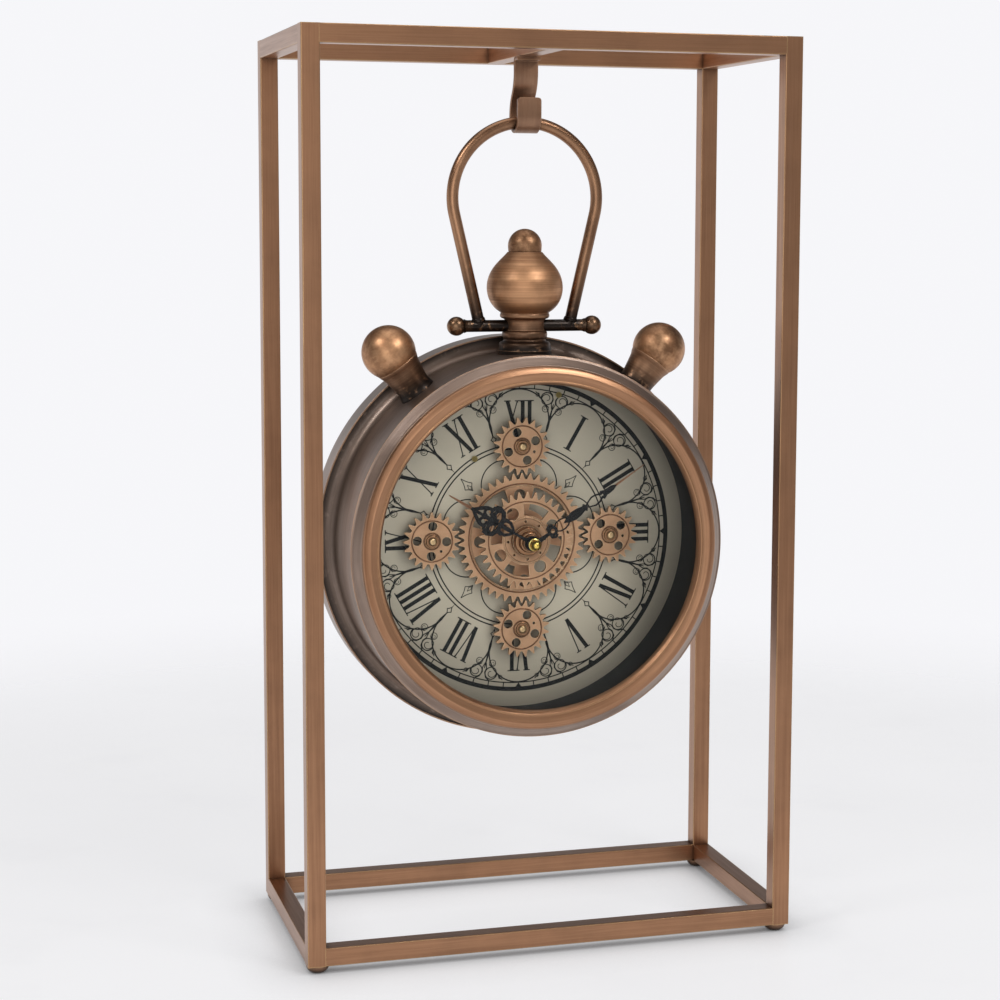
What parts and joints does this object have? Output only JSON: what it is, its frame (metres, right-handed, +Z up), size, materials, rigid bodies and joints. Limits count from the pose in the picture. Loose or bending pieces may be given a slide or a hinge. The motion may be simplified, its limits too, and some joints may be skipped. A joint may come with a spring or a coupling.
{
  "type": "skeleton clock",
  "caption": "Round skeleton clock with a moving gear train behind glass, hung by its bow from a hook in an open square-tube stand.",
  "frame": {"origin": "bottom centre of the stand, on the surface that it stands on", "axes": "+Z up, +X to the right as the dial is read, the dial faces -Y"},
  "size_m": [0.33, 0.17, 0.6],
  "materials": {
    "antique_copper": "brushed antique copper over steel, dark in the recesses, rubbed bright on the edges",
    "gear_copper": "matt copper, lightly brushed",
    "brass": "turned brass",
    "steel": "zinc plated steel",
    "window_glass": "clear flat glass",
    "liner_black": "matt black",
    "dial_paint": "satin champagne paint with black print",
    "black_plastic": "fine matt moulded plastic",
    "battery_sleeve": "plain shrink sleeve with steel ends",
    "switch_plastic": "light grey moulded plastic",
    "hand_black": "black lacquer, tips rubbed to copper"
  },
  "bodies": {
    "stand": {"post_front_left": "antique_copper", "post_front_right": "antique_copper", "post_rear_left": "antique_copper", "post_rear_right": "antique_copper", "top_rail_front": "antique_copper", "top_rail_rear": "antique_copper", "top_rail_left": "antique_copper", "top_rail_right": "antique_copper", "bottom_rail_front": "antique_copper", "bottom_rail_rear": "antique_copper", "bottom_rail_left": "antique_copper", "bottom_rail_right": "antique_copper", "crossbar": "antique_copper", "hook": "antique_copper", "feet": "antique_copper"},
    "bow": {"bow": "antique_copper", "cross_rod": "antique_copper", "rod_ball_left": "antique_copper", "rod_ball_right": "antique_copper"},
    "case": {"case_drum": "antique_copper", "front_bezel": "antique_copper", "glass": "window_glass", "dial_liner": "liner_black", "dial": "dial_paint", "dial_screws": "brass", "crown_neck": "antique_copper", "crown_onion": "antique_copper", "crown_ball": "antique_copper", "knob_stem_left": "antique_copper", "knob_stem_right": "antique_copper", "knob_ball_left": "antique_copper", "knob_ball_right": "antique_copper", "rear_cover": "antique_copper", "cover_pillars": "steel", "cover_screws": "steel", "movement_case": "black_plastic", "movement_bushing": "brass", "dial_nut": "brass", "hub_collar": "gear_copper", "movement_battery": "battery_sleeve", "motor_case": "black_plastic", "motor_battery": "battery_sleeve", "gear_posts": "brass"},
    "power_switch": {"power_switch": "switch_plastic"},
    "set_knob": {"set_knob": "black_plastic"},
    "hour_hand": {"hour_tube": "brass", "hour_hand": "hand_black"},
    "minute_hand": {"minute_shaft": "steel", "minute_hand": "hand_black", "cap_nut": "brass"},
    "ring_gears": {"gear_hub": "gear_copper", "ring_gear": "gear_copper", "mid_gear": "gear_copper"},
    "top_satellite": {"sat_gear_top": "gear_copper"},
    "right_satellite": {"sat_gear_right": "gear_copper"},
    "bottom_satellite": {"sat_gear_bottom": "gear_copper", "drive_spindle": "brass"},
    "left_satellite": {"sat_gear_left": "gear_copper"}
  },
  "joints": [
    {"name": "bow_swing", "type": "hinge", "parent": "stand", "child": "bow", "pos_m": [0, -0.0031, 0.545], "axis": [1, 0, 0], "range_deg": [-30, 30]},
    {"name": "case_tilt", "type": "hinge", "parent": "bow", "child": "case", "pos_m": [0, -0.0031, 0.4095], "axis": [1, 0, 0], "range_deg": [-80, 80]},
    {"name": "minute_spin", "type": "hinge", "parent": "case", "child": "minute_hand", "pos_m": [0, 0, 0.264], "axis": [0, 1, 0], "continuous": true},
    {"name": "hour_spin", "type": "hinge", "parent": "case", "child": "hour_hand", "pos_m": [0, 0, 0.264], "axis": [0, 1, 0], "continuous": true},
    {"name": "set_knob_spin", "type": "hinge", "parent": "case", "child": "set_knob", "pos_m": [0, 0.036, 0.279], "axis": [0, 1, 0], "continuous": true},
    {"name": "gear_spin", "type": "hinge", "parent": "case", "child": "ring_gears", "pos_m": [0, 0, 0.264], "axis": [0, 1, 0], "continuous": true},
    {"name": "top_satellite_spin", "type": "hinge", "parent": "case", "child": "top_satellite", "pos_m": [0, 0, 0.327], "axis": [0, 1, 0], "continuous": true},
    {"name": "right_satellite_spin", "type": "hinge", "parent": "case", "child": "right_satellite", "pos_m": [0.063, 0, 0.264], "axis": [0, 1, 0], "continuous": true},
    {"name": "bottom_satellite_spin", "type": "hinge", "parent": "case", "child": "bottom_satellite", "pos_m": [0, 0, 0.201], "axis": [0, 1, 0], "continuous": true},
    {"name": "left_satellite_spin", "type": "hinge", "parent": "case", "child": "left_satellite", "pos_m": [-0.063, 0, 0.264], "axis": [0, 1, 0], "continuous": true},
    {"name": "switch_slide", "type": "slide", "parent": "case", "child": "power_switch", "axis": [1, 0, 0], "range_m": [0, 0.004]}
  ],
  "couplings": [
    {"joint": "hour_spin", "follows": "minute_spin", "ratio": 0.083333},
    {"joint": "set_knob_spin", "follows": "minute_spin", "ratio": 1},
    {"joint": "top_satellite_spin", "follows": "gear_spin", "ratio": -2.3},
    {"joint": "right_satellite_spin", "follows": "gear_spin", "ratio": -2.3},
    {"joint": "bottom_satellite_spin", "follows": "gear_spin", "ratio": -2.3},
    {"joint": "left_satellite_spin", "follows": "gear_spin", "ratio": -2.3}
  ]
}
